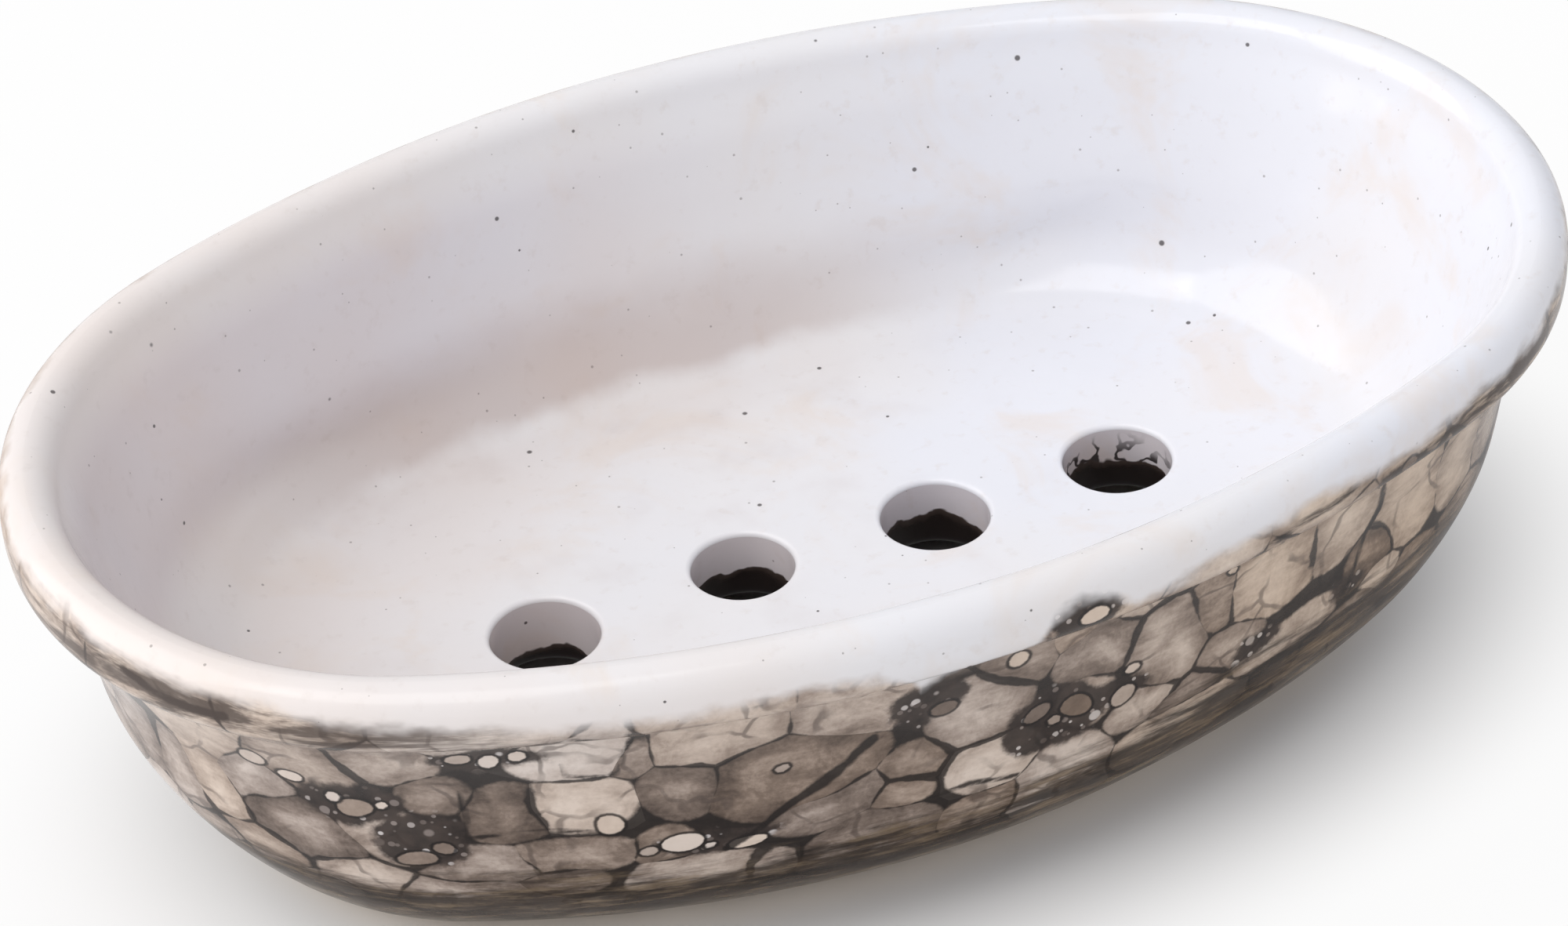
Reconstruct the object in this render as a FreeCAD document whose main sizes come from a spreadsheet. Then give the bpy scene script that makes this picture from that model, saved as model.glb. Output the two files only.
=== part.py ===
import FreeCAD, Part
import math
import os
import Sketcher

# Oval ceramic soap dish standing on its foot ring.
# Millimetres, +Z up, +X along the dish. The origin is the middle of the foot's flat underside.

SIZES = {
    # Finished outline seen from above: two round ends joined by two flatter sides.
    # The ends' radius is half the width less the sides' easing. The floor's outline has its own.
    "dish_length": 135.0,
    "dish_width": 85.0,
    "side_easing": 7.0,
    "floor_easing": 2.0,
    "dish_height": 38.4,
    "glaze": 0.45,
    # Floor slab on its foot ring.
    "foot_height": 6.0,
    "floor_thickness": 6.2,
    "recess_end_inset": 26.5,
    "recess_side_inset": 24.0,
    # Lip: full round on top, rolled under on the outside.
    "rim_thickness": 4.8,
    "lip_depth": 6.6,
    "lip_round": 2.3,
    "throat_inset": 6.4,
    # Outside of the bowl: heights, and insets from the outline at the ends and at the sides.
    "sole_end_inset": 19.8,
    "sole_side_inset": 17.2,
    "heel_height": 2.5,
    "heel_end_inset": 16.2,
    "heel_side_inset": 13.9,
    "haunch_height": 8.0,
    "haunch_end_inset": 11.4,
    "haunch_side_inset": 8.8,
    "belly_end_inset": 6.4,
    "belly_side_inset": 4.5,
    "shoulder_drop": 6.0,
    "shoulder_end_inset": 4.4,
    "shoulder_side_inset": 3.0,
    # Inside of the bowl: the crease round the floor, the cove above it and the wall.
    "crease_end_inset": 17.0,
    "crease_side_inset": 13.4,
    "cove_rise": 3.0,
    "cove_end_inset": 14.0,
    "cove_side_inset": 11.2,
    "wall_end_inset": 9.6,
    "wall_side_inset": 8.4,
    # Drain holes, punched by hand in a row along the floor: where the row starts and ends along
    # the recess under it, each hole's own shift along and across the row, and the finished bores.
    "row_start_share": 0.2061,
    "row_end_share": 0.85854,
    "drain_1_shift": 0.0,
    "drain_1_across": 1.1,
    "drain_1_bore": 9.3,
    "drain_2_shift": 0.65,
    "drain_2_across": 1.9,
    "drain_2_bore": 8.9,
    "drain_3_shift": 0.3,
    "drain_3_across": 0.8,
    "drain_3_bore": 9.4,
    "drain_4_shift": 0.0,
    "drain_4_across": 0.7,
    "drain_4_bore": 9.4,
}
DRAINS = (1, 2, 3, 4)

# How deep a face lies under the finished surface: the clay is one glaze coat down.
CLAY = "sizes.glaze"
FINISHED = "0"

# Heights worked out from the sizes.
TABLE = "0"
FOOT_TOP = "sizes.foot_height"
FLOOR_TOP = "(sizes.foot_height + sizes.floor_thickness)"
LIP_UNDERSIDE = "(sizes.dish_height - sizes.lip_depth)"
NECK = f"({LIP_UNDERSIDE} + sizes.glaze)"
SHOULDER = f"({NECK} - sizes.shoulder_drop)"
COVE = f"({FLOOR_TOP} + sizes.glaze + sizes.cove_rise)"

# Levels of the bowl's two faces from the bottom up: name of the insets, height, easing.
# The neck and the throat are the lip's own width, so their insets are the same all round.
OUTSIDE = (
    ("sole", TABLE, "sizes.side_easing"),
    ("heel", "sizes.heel_height", "sizes.side_easing"),
    ("haunch", "sizes.haunch_height", "sizes.side_easing"),
    ("belly", f"(sizes.haunch_height + {SHOULDER}) / 2", "sizes.side_easing"),
    ("shoulder", SHOULDER, "sizes.side_easing"),
)
INSIDE = (
    ("cove", COVE, "sizes.floor_easing"),
    ("wall", f"({COVE} + {NECK}) / 2", "sizes.side_easing"),
)

# Numbers of an edge's points, and of a sketch's origin and axes.
START, END, CENTRE = 1, 2, 3
ORIGIN = (-1, 1)
X_AXIS = -1
Y_AXIS = -2
UP = FreeCAD.Vector(0, 0, 1)

doc = FreeCAD.newDocument("soap_dish")
sheet = doc.addObject("Spreadsheet::Sheet", "sizes")
for row, (alias, number) in enumerate(SIZES.items(), start=1):
    cell = "A" + str(row)
    sheet.set(cell, str(number))
    sheet.setAlias(cell, alias)
doc.recompute()


def size(expression):
    """Value of an expression in the sheet's sizes."""
    return float(sheet.evalExpression(expression))


def new_body(label):
    """Empty sub-part; its label names its file."""
    body = doc.addObject("PartDesign::Body", label)
    body.Label = label
    return body


def new_sketch(body, name, role, height=TABLE):
    """Sketch on one of the body's own origin planes, raised to a height."""
    sketch = body.newObject("Sketcher::SketchObject", body.Label + "_" + name)
    planes = [feature for feature in body.Origin.OriginFeatures if feature.Role == role]
    sketch.AttachmentSupport = [(planes[0], "")]
    sketch.MapMode = "FlatFace"
    sketch.setExpression("AttachmentOffset.Base.z", height)
    return sketch


def dimension(sketch, kind, places, expression):
    """Dimension of a sketch, bound to an expression in the sheet's sizes."""
    index = sketch.addConstraint(Sketcher.Constraint(kind, *places, size(expression)))
    name = "size_" + str(index)
    sketch.renameConstraint(index, name)
    sketch.setExpression("Constraints." + name, expression)


def relate(sketch, kind, *places):
    """Geometric relation between places of a sketch."""
    sketch.addConstraint(Sketcher.Constraint(kind, *places))


def arc(centre_x, centre_y, radius, start, end):
    """Counter-clockwise arc between two angles in radians."""
    circle = Part.Circle(FreeCAD.Vector(centre_x, centre_y, 0), UP, radius)
    return Part.ArcOfCircle(circle, start, end)


def line(start, end):
    """Straight edge between two points of a sketch."""
    return Part.LineSegment(FreeCAD.Vector(*start, 0), FreeCAD.Vector(*end, 0))


def add_oval(sketch, end_inset, side_inset, easing):
    """Dish outline moved in by an inset at the ends and one at the sides.

    The right-hand end arc is split on the X axis, so the outline starts at that end's middle.
    """
    half_length = f"sizes.dish_length / 2 - ({end_inset})"
    half_width = f"sizes.dish_width / 2 - ({side_inset})"
    radius = f"{half_width} - {easing}"
    end_place = f"{half_length} - ({radius})"
    reach, width, bend = size(end_place), size(half_width), size(radius)
    side_bend = (width ** 2 + reach ** 2 - bend ** 2) / (2 * (width - bend))
    drop = side_bend - width
    turn = math.atan2(drop, reach)
    half_turn = math.pi
    right_upper, upper, left, lower, right_lower = sketch.addGeometry([
        arc(reach, 0, bend, 0, turn),
        arc(0, -drop, side_bend, turn, half_turn - turn),
        arc(-reach, 0, bend, half_turn - turn, half_turn + turn),
        arc(0, drop, side_bend, half_turn + turn, 2 * half_turn - turn),
        arc(reach, 0, bend, -turn, 0),
    ])
    ring = (right_upper, upper, left, lower, right_lower)
    for one, following in zip(ring, ring[1:]):
        relate(sketch, "Tangent", one, END, following, START)
    relate(sketch, "Coincident", right_lower, END, right_upper, START)
    relate(sketch, "Coincident", right_lower, CENTRE, right_upper, CENTRE)
    relate(sketch, "PointOnObject", right_upper, START, X_AXIS)
    relate(sketch, "PointOnObject", right_upper, CENTRE, X_AXIS)
    relate(sketch, "Symmetric", right_upper, CENTRE, left, CENTRE, *ORIGIN)
    relate(sketch, "Equal", right_upper, left)
    dimension(sketch, "Radius", (right_upper,), radius)
    dimension(sketch, "DistanceX", (*ORIGIN, right_upper, CENTRE), end_place)
    for side, sign in ((upper, 1), (lower, -1)):
        crown = sketch.addGeometry(Part.Point(FreeCAD.Vector(0, sign * width, 0)), True)
        relate(sketch, "PointOnObject", crown, START, Y_AXIS)
        relate(sketch, "PointOnObject", crown, START, side)
        ends = (*ORIGIN, crown, START) if sign > 0 else (crown, START, *ORIGIN)
        dimension(sketch, "DistanceY", ends, half_width)


def add_circle(sketch, bore, along=None, across=None):
    """Circle of a given diameter at a place, or at the origin."""
    place = FreeCAD.Vector(0, 0, 0)
    if along:
        place = FreeCAD.Vector(size(along), size(across), 0)
    circle = sketch.addGeometry(Part.Circle(place, UP, size(bore) / 2))
    dimension(sketch, "Diameter", (circle,), bore)
    if along:
        dimension(sketch, "DistanceX", (*ORIGIN, circle, CENTRE), along)
        dimension(sketch, "DistanceY", (*ORIGIN, circle, CENTRE), across)
    else:
        relate(sketch, "Coincident", circle, CENTRE, *ORIGIN)


def drain_place(number):
    """Where a drain hole lies along and across the dish: evenly along the row, with its own shift."""
    recess_end = "(sizes.dish_length / 2 - sizes.recess_end_inset)"
    row_length_share = "(sizes.row_end_share - sizes.row_start_share)"
    hole_share = (number - DRAINS[0]) / (DRAINS[-1] - DRAINS[0])
    recess_share = f"(sizes.row_start_share + {row_length_share} * {hole_share})"
    along = f"{recess_end} * (2 * {recess_share} - 1) + sizes.drain_{number}_shift"
    return along, f"sizes.drain_{number}_across"


def add_drains(sketch, cover):
    """The four drain holes: the finished bores, or those in the clay under a coat."""
    for number in DRAINS:
        add_circle(sketch, f"sizes.drain_{number}_bore + 2 * {cover}", *drain_place(number))


def add_recess(sketch):
    """Outline of the recess inside the foot ring."""
    add_oval(sketch, "sizes.recess_end_inset", "sizes.recess_side_inset", "sizes.floor_easing")


def loft(body, kind, name, levels):
    """Loft through ovals given as height, end inset, side inset and easing."""
    sketches = []
    for number, (height, end_inset, side_inset, easing) in enumerate(levels, start=1):
        sketch = new_sketch(body, f"{name}_level_{number}", "XY_Plane", height)
        add_oval(sketch, end_inset, side_inset, easing)
        sketches.append(sketch)
    feature = body.newObject("PartDesign::" + kind, body.Label + "_" + name)
    feature.Profile = sketches[0]
    feature.Sections = sketches[1:]
    doc.recompute()


def outside_form(body, kind, name, cover):
    """Solid bowl up to the neck, bounded by the clay or by the finished outside."""
    levels = []
    for level, height, easing in OUTSIDE:
        end_inset = f"sizes.{level}_end_inset + {cover}"
        side_inset = f"sizes.{level}_side_inset + {cover}"
        levels.append((height, end_inset, side_inset, easing))
    neck_inset = f"sizes.lip_round - sizes.glaze + {cover}"
    levels.append((NECK, neck_inset, neck_inset, "sizes.side_easing"))
    loft(body, kind, name, levels)


def inside_form(body, kind, name, cover):
    """Hollow of the bowl up to the neck, bounded by the clay or by the finished inside."""
    floor = f"{FLOOR_TOP} + sizes.glaze - {cover}"
    levels = []
    for level, height, easing in (("crease", floor, "sizes.floor_easing"),) + INSIDE:
        end_inset = f"sizes.{level}_end_inset - {cover}"
        side_inset = f"sizes.{level}_side_inset - {cover}"
        levels.append((height, end_inset, side_inset, easing))
    throat_inset = f"sizes.throat_inset - {cover}"
    levels.append((NECK, throat_inset, throat_inset, "sizes.side_easing"))
    loft(body, kind, name, levels)


def cut_through(body, name, sketch, upward=False):
    """Cut a sketch's outlines right through the body, downward or upward."""
    pocket = body.newObject("PartDesign::Pocket", body.Label + "_" + name)
    pocket.Profile = sketch
    pocket.Type = "ThroughAll"
    pocket.Reversed = upward
    doc.recompute()


def cut_away(body, name, height, upward):
    """Take away everything above or below a height."""
    sketch = new_sketch(body, name + "_plane", "XY_Plane", height)
    add_circle(sketch, "2 * sizes.dish_length")
    cut_through(body, name, sketch, upward)


def add_lip_face(sketch, cover):
    """Lip's face in section, from the neck outside, over the top, to the neck inside."""
    outer_x = "sizes.dish_length / 2"
    lip_round = "sizes.lip_round"
    rim_round = "sizes.rim_thickness / 2"
    under = (f"{outer_x} - {lip_round}", f"{LIP_UNDERSIDE} + {lip_round}", f"{lip_round} - {cover}")
    top = (f"{outer_x} - {rim_round}", f"sizes.dish_height - {rim_round}", f"{rim_round} - {cover}")
    throat_x = f"{outer_x} - sizes.throat_inset + {cover}"
    quarter_turn = math.pi / 2
    face_x = size(outer_x) - size(cover)
    inner_x = size(top[0]) - size(top[2])
    roll, face, crown, inner = sketch.addGeometry([
        arc(size(under[0]), size(under[1]), size(under[2]), -quarter_turn, 0),
        line((face_x, size(under[1])), (face_x, size(top[1]))),
        arc(size(top[0]), size(top[1]), size(top[2]), 0, 2 * quarter_turn),
        line((inner_x, size(top[1])), (size(throat_x), size(NECK))),
    ])
    relate(sketch, "Tangent", roll, END, face, START)
    relate(sketch, "Tangent", face, END, crown, START)
    relate(sketch, "Tangent", crown, END, inner, START)
    for bend, (x, z, radius) in ((roll, under), (crown, top)):
        dimension(sketch, "DistanceX", (*ORIGIN, bend, CENTRE), x)
        dimension(sketch, "DistanceY", (*ORIGIN, bend, CENTRE), z)
        dimension(sketch, "Radius", (bend,), radius)
    relate(sketch, "Vertical", roll, START, roll, CENTRE)
    dimension(sketch, "DistanceX", (*ORIGIN, inner, END), throat_x)
    dimension(sketch, "DistanceY", (*ORIGIN, inner, END), NECK)
    return roll, inner


def join(sketch, one, one_end, other, other_end):
    """Straight edge between two free ends of a sketch's edges."""
    points = (sketch.getPoint(one, one_end), sketch.getPoint(other, other_end))
    edge = sketch.addGeometry(Part.LineSegment(*points))
    relate(sketch, "Coincident", edge, START, one, one_end)
    relate(sketch, "Coincident", edge, END, other, other_end)


def lip_pipe(body, profile):
    """Run a lip section round the outline."""
    path = new_sketch(body, "lip_path", "XY_Plane", NECK)
    add_oval(path, CLAY, CLAY, "sizes.side_easing")
    pipe = body.newObject("PartDesign::AdditivePipe", body.Label + "_lip")
    pipe.Profile = profile
    pipe.Spine = path
    doc.recompute()


def make_wall_band():
    """Flared wall standing on the floor slab, with its lip."""
    body = new_body("wall_band")
    outside_form(body, "AdditiveLoft", "outside", CLAY)
    cut_away(body, "seat", FLOOR_TOP, False)
    inside_form(body, "SubtractiveLoft", "inside", CLAY)
    profile = new_sketch(body, "lip_section", "XZ_Plane")
    roll, inner = add_lip_face(profile, CLAY)
    join(profile, inner, END, roll, START)
    lip_pipe(body, profile)
    return body


def make_floor_slab():
    """Floor between the foot ring and the wall, with the drain holes."""
    body = new_body("floor_slab")
    outside_form(body, "AdditiveLoft", "outside", CLAY)
    cut_away(body, "top", FLOOR_TOP, True)
    cut_away(body, "bottom", FOOT_TOP, False)
    holes = new_sketch(body, "drain_plan", "XY_Plane", FLOOR_TOP)
    add_drains(holes, CLAY)
    cut_through(body, "drains", holes)
    return body


def make_foot_ring():
    """Ring that the dish stands on, open in the middle."""
    body = new_body("foot_ring")
    outside_form(body, "AdditiveLoft", "outside", CLAY)
    cut_away(body, "top", FOOT_TOP, True)
    plan = new_sketch(body, "recess_plan", "XY_Plane", FOOT_TOP)
    add_recess(plan)
    cut_through(body, "recess", plan)
    return body


def make_liner_glaze():
    """White coat on the floor, up the inner wall and over the lip."""
    body = new_body("liner_glaze")
    inside_form(body, "AdditiveLoft", "clay_side", CLAY)
    inside_form(body, "SubtractiveLoft", "bowl_side", FINISHED)
    holes = new_sketch(body, "drain_plan", "XY_Plane", f"{FLOOR_TOP} + sizes.glaze")
    add_drains(holes, FINISHED)
    cut_through(body, "drains", holes)
    profile = new_sketch(body, "lip_section", "XZ_Plane")
    clay_roll, clay_inner = add_lip_face(profile, CLAY)
    roll, inner = add_lip_face(profile, FINISHED)
    join(profile, clay_roll, START, roll, START)
    join(profile, clay_inner, END, inner, END)
    lip_pipe(body, profile)
    return body


def make_bubble_glaze():
    """Dark coat on the outside, from the foot's bare edge to the lip."""
    body = new_body("bubble_glaze")
    outside_form(body, "AdditiveLoft", "outside", FINISHED)
    outside_form(body, "SubtractiveLoft", "clay_side", CLAY)
    cut_away(body, "top", LIP_UNDERSIDE, True)
    cut_away(body, "bottom", "sizes.heel_height", False)
    return body


def make_underside_glaze():
    """Dark coat on the floor's underside, inside the foot ring."""
    body = new_body("underside_glaze")
    plan = new_sketch(body, "plan", "XY_Plane", f"{FOOT_TOP} - sizes.glaze")
    add_recess(plan)
    add_drains(plan, FINISHED)
    pad = body.newObject("PartDesign::Pad", "underside_glaze_coat")
    pad.Profile = plan
    pad.setExpression("Length", "sizes.glaze")
    return body


def make_drain_glaze(number):
    """Sleeve of glaze in one drain hole, drawn on its own axis and placed at the hole."""
    body = new_body(f"drain_glaze_{number}")
    bore = f"sizes.drain_{number}_bore"
    along, across = drain_place(number)
    plan = new_sketch(body, "plan", "XY_Plane")
    add_circle(plan, bore)
    add_circle(plan, f"{bore} + 2 * {CLAY}")
    pad = body.newObject("PartDesign::Pad", f"drain_glaze_{number}_sleeve")
    pad.Profile = plan
    pad.setExpression("Length", "sizes.floor_thickness")
    body.setExpression("Placement.Base.x", along)
    body.setExpression("Placement.Base.y", across)
    body.setExpression("Placement.Base.z", FOOT_TOP)
    return body


def check(bodies):
    """Stop before anything is written if a feature failed or a sub-part isn't one sound solid."""
    doc.recompute()
    for item in doc.Objects:
        faults = [state for state in item.State if state in ("Invalid", "Error")]
        if faults:
            raise RuntimeError(f"{item.Label}: {faults}")
    for body in bodies:
        shape = body.Shape
        if shape.isNull() or not shape.isValid() or len(shape.Solids) != 1:
            raise RuntimeError(f"{body.Label}: not one sound solid")


parts = [
    make_foot_ring(),
    make_floor_slab(),
    make_wall_band(),
    make_liner_glaze(),
    make_bubble_glaze(),
    make_underside_glaze(),
]
parts += [make_drain_glaze(number) for number in DRAINS]
check(parts)
os.makedirs("parts", exist_ok=True)
for part in parts:
    part.Shape.exportStep("parts/" + part.Label + ".step")
    print(part.Label, round(part.Shape.Volume, 1))
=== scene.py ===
import math
import bpy
import numpy as np
from mathutils import Matrix, Vector, geometry, noise


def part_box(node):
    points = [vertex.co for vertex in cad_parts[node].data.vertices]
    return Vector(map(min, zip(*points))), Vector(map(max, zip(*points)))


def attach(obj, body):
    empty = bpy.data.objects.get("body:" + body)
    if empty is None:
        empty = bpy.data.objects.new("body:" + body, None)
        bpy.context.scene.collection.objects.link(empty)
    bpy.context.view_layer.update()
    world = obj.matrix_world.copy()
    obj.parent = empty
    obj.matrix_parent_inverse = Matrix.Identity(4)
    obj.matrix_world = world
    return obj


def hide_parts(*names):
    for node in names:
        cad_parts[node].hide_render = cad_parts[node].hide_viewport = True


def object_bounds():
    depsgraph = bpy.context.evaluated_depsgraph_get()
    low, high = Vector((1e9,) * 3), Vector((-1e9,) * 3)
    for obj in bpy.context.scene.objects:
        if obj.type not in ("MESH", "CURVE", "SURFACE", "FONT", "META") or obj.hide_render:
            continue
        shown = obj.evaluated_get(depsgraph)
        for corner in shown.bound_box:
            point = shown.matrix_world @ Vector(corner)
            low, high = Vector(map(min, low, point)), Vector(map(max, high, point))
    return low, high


# Oval ceramic soap dish: white inside, dark bubble glaze over pale clay outside.
# Lengths are millimetres until a mesh is made. A run is a share round the dish from the front's middle,
# going right. A rise is a share of the outer wall's length: 0 at the heel, 1 at the neck, more on the lip.

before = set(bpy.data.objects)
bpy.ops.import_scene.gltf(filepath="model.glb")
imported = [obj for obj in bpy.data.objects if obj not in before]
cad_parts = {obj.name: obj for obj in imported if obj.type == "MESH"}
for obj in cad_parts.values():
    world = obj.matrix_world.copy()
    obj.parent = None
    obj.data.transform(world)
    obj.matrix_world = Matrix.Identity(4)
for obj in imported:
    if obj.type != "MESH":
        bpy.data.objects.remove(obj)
cad_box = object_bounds()
MM = 0.001
SEED = 11
random = np.random.default_rng(SEED)
noise.seed_set(SEED)


def box_mm(node):
    """Lowest and highest corner of a node."""
    return [np.array(corner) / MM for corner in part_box(node)]


# Sizes read from the frame.
HALF_LENGTH, HALF_WIDTH, HEIGHT = np.array(cad_box[1]) / MM
UNDERSIDE = box_mm("underside_glaze")[0][2]
GLAZE = box_mm("underside_glaze")[1][2] - UNDERSIDE
RECESS_LENGTH, RECESS_WIDTH = box_mm("underside_glaze")[1][:2]
FOOT_TOP = box_mm("foot_ring")[1][2]
HEEL = box_mm("bubble_glaze")[0][2]
LIP_UNDERSIDE = box_mm("bubble_glaze")[1][2]
FLOOR = box_mm("floor_slab")[1][2] + GLAZE
NECK = LIP_UNDERSIDE + GLAZE
DRAINS = []
for number in (1, 2, 3, 4):
    low, high = box_mm(f"drain_glaze_{number}")
    DRAINS.append(((low + high)[:2] / 2, (high - low)[0] / 2 - GLAZE))

# The bowl's own sizes: the lip's rounds, and how the sides and the floor's sides bow.
LIP_ROUND = 2.3
RIM_ROUND = 2.4
SIDE_BOW = 7.0
FLOOR_BOW = 2.0
HAUNCH = 8.0
SHOULDER = NECK - 6.0
COVE = FLOOR + 3.0
NECK_INSET = LIP_ROUND - GLAZE
# Levels of the bowl's faces: inset at the ends, inset at the sides, bow, height.
OUTSIDE = (
    (19.8, 17.2, SIDE_BOW, 0.0),
    (16.2, 13.9, SIDE_BOW, HEEL),
    (11.4, 8.8, SIDE_BOW, HAUNCH),
    (6.4, 4.5, SIDE_BOW, (HAUNCH + SHOULDER) / 2),
    (4.4, 3.0, SIDE_BOW, SHOULDER),
    (NECK_INSET, NECK_INSET, SIDE_BOW, NECK),
)
INSIDE = (
    (6.4, 6.4, SIDE_BOW, NECK),
    (9.6, 8.4, SIDE_BOW, (COVE + NECK) / 2),
    (14.0, 11.2, FLOOR_BOW, COVE),
    (17.0, 13.4, FLOOR_BOW, FLOOR),
)
FLOOR_EDGE = (23.0, 17.6, FLOOR_BOW, FLOOR)
# Where the wall stops below the neck, and the angle at which the lip's round starts there.
NECK_CUT = 0.4
LIP_START = -76
# How far edges are smoothed, and how far and how strongly the crease round the floor is.
EDGE_SOFT = 0.45
CREASE_SOFT = 1.5
CREASE_REACH = 4.0
CREASE_FULL = 1.6
# Rounds at the drain holes' upper and lower edges, with the angles of their rings.
HOLE_ROUND = 0.5
HOLE_ANGLES = np.radians(np.arange(90, -1, -9))
UNDER_ROUND = 0.8
UNDER_ANGLES = np.radians(np.arange(15, 91, 15))
# Drain holes as shares of their radius: slack, and unevenness whose noise is set apart from hole to hole.
HOLE_SLACK = 0.012
HOLE_UNEVEN = 0.03
HOLE_LOBES = 0.9
HOLE_APART = 5.0
# Dark glaze in each drain hole: the height that it has risen to, and how strongly it branches above.
CREEP = ((7.2, 0.0), (8.8, 0.0), (9.0, 0.0), (8.8, 0.95))
# The dark coat's edge at the foot, from the foot inwards: inset and drop.
UNDER_EDGE = ((0.0, 0.9), (0.12, 0.5), (0.35, 0.2), (0.75, 0.03), (1.3, 0.0))
# Clearance of hidden seats. How far the foot runs up behind the glaze and in under the wall, and how far
# its edges are smoothed.
SEAT = 0.02
FOOT_RISE = 1.5
FOOT_TUCK = 2.0
FOOT_SOFT = 0.55

# Meshes: spacing along sections and over flat parts, degrees between an arc's points, points round each
# piece, and the angle of a sharp edge.
FINE = 0.1
OUTER_STEP = 0.46
WHITE_STEP = 0.6
FOOT_STEP = 0.7
PLATE_STEP = 1.7
PLATE_ROW = 0.866 * PLATE_STEP
PLATE_CLEAR = 0.6 * PLATE_STEP
ARC_STEP = 3
OUTER_COLUMNS = 760
WHITE_COLUMNS = 380
FOOT_COLUMNS = 300
RECESS_COLUMNS = 220
HOLE_COLUMNS = 72
SLEEVE_RINGS = 22
SHARP = math.radians(70)
# The outer coat's back has one ring in several, and all of them from this rise up.
BACK_EVERY = 6
BACK_FINE = 0.93
# Depth, breadth and contrast of the hand work's dents, and the coats' thickness.
DENT = 0.14
DENT_LENGTH = 21.0
DENT_CONTRAST = 1.6
COAT = 0.15


# ---------- sections and rings

def oval(half_length, half_width, bow, runs):
    """Points of an oval of four arcs at given runs."""
    end = half_width - bow
    reach = half_length - end
    side = (half_width ** 2 + reach ** 2 - end ** 2) / (2 * bow)
    drop = side - half_width
    turn = math.atan2(drop, reach)
    quarters = (np.asarray(runs) % 1.0) * 4
    quarter = np.floor(quarters).astype(int)
    share = quarters - quarter
    share = np.where(quarter % 2 == 1, 1 - share, share)
    side_angle = (math.pi / 2 - turn) * np.minimum(2 * share, 1)
    end_angle = turn * (1 - np.clip(2 * share - 1, 0, 1))
    on_side = share < 0.5
    x = np.where(on_side, side * np.sin(side_angle), reach + end * np.cos(end_angle))
    y = np.where(on_side, drop - side * np.cos(side_angle), -end * np.sin(end_angle))
    x = np.where(quarter >= 2, -x, x)
    y = np.where((quarter == 1) | (quarter == 2), -y, y)
    return np.column_stack([x, y])


def level_points(flat, height):
    """Flat points set at a height."""
    return np.column_stack([flat, np.full(len(flat), height)])


def lengths(curve):
    """Length along a section up to each of its points."""
    steps = np.diff(curve, axis=0)
    return np.r_[0, np.cumsum(np.hypot((steps[:, 0] + steps[:, 1]) / 2, steps[:, 3]))]


def spaced(curve, step):
    """Section with its points evenly spaced."""
    along = lengths(curve)
    places = np.linspace(0, along[-1], max(2, round(along[-1] / step) + 1))
    return np.column_stack([np.interp(places, along, column) for column in curve.T])


def through(levels):
    """Smooth section through levels."""
    levels = np.array(levels)
    along = lengths(levels)
    slopes = np.gradient(levels, along, axis=0)
    places = np.linspace(0, along[-1], round(along[-1] / FINE) + 1)
    before = np.clip(np.searchsorted(along, places, side="right") - 1, 0, len(along) - 2)
    span = (along[before + 1] - along[before])[:, None]
    t = (places - along[before])[:, None] / span
    return (
        levels[before] * (1 + 2 * t) * (1 - t) ** 2 + levels[before + 1] * t * t * (3 - 2 * t)
        + slopes[before] * span * t * (1 - t) ** 2 - slopes[before + 1] * span * t * t * (1 - t)
    )


def bend(inset, height, radius, start, end):
    """Arc of the lip's section, with the same inset all round."""
    angles = np.radians(np.linspace(start, end, max(4, round(abs(end - start) / ARC_STEP))))
    insets = inset - radius * np.cos(angles)
    bows = np.full_like(insets, SIDE_BOW)
    return np.column_stack([insets, insets, bows, height + radius * np.sin(angles)])


def inward(curve, depth):
    """Section moved in from the outside."""
    return curve + np.array([depth, depth, 0, 0])


def soften(curve, reach):
    """Section smoothed over a reach, with its ends held."""
    count = round(3 * reach / FINE)
    weights = np.exp(-0.5 * (np.arange(-count, count + 1) * FINE / reach) ** 2)
    weights = weights / weights.sum()
    padded = np.vstack([2 * curve[0] - curve[count:0:-1], curve, 2 * curve[-1] - curve[-2:-count - 2:-1]])
    return np.column_stack([np.convolve(column, weights, "valid") for column in padded.T])


def rings(curve, columns):
    """Grid of points: a section run round the dish."""
    runs = np.arange(columns) / columns
    grid = []
    for end_inset, side_inset, bow, height in curve:
        grid.append(level_points(oval(HALF_LENGTH - end_inset, HALF_WIDTH - side_inset, bow, runs), height))
    return np.array(grid)


def normals(grid):
    """Unit vectors away from the clay."""
    across = np.roll(grid, -1, axis=1) - np.roll(grid, 1, axis=1)
    up = np.gradient(grid, axis=0)
    out = np.cross(across, up)
    return out / np.linalg.norm(out, axis=-1, keepdims=True)


def dents(points):
    """Depth of the surface's hand-made unevenness at each point."""
    flat = points.reshape(-1, 3) / DENT_LENGTH
    depth = [0.5 + 0.5 * max(-1.0, min(1.0, DENT_CONTRAST * noise.noise(Vector(p)))) for p in flat]
    return DENT * np.array(depth).reshape(points.shape[:-1])


def dented(grid, crown_ring):
    """Grid with the hand-made unevenness pressed into it, straight down on the rim's crown."""
    away = normals(grid)
    away[crown_ring] = (0, 0, 1)
    return grid - away * dents(grid)[..., None]


# ---------- meshes

def strip_faces(numbers):
    """Faces between neighbouring rings of point numbers."""
    after = np.roll(numbers, -1, axis=1)
    return np.stack([numbers[:-1], after[:-1], after[1:], numbers[1:]], axis=-1).reshape(-1, 4).tolist()


def solid_of_rings(grid):
    """Points and faces of a closed solid: rings joined in a circle, the last to the first."""
    numbers = np.arange(grid[..., 0].size).reshape(grid.shape[:2])
    return grid.reshape(-1, 3), strip_faces(np.vstack([numbers, numbers[:1]]))


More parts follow.
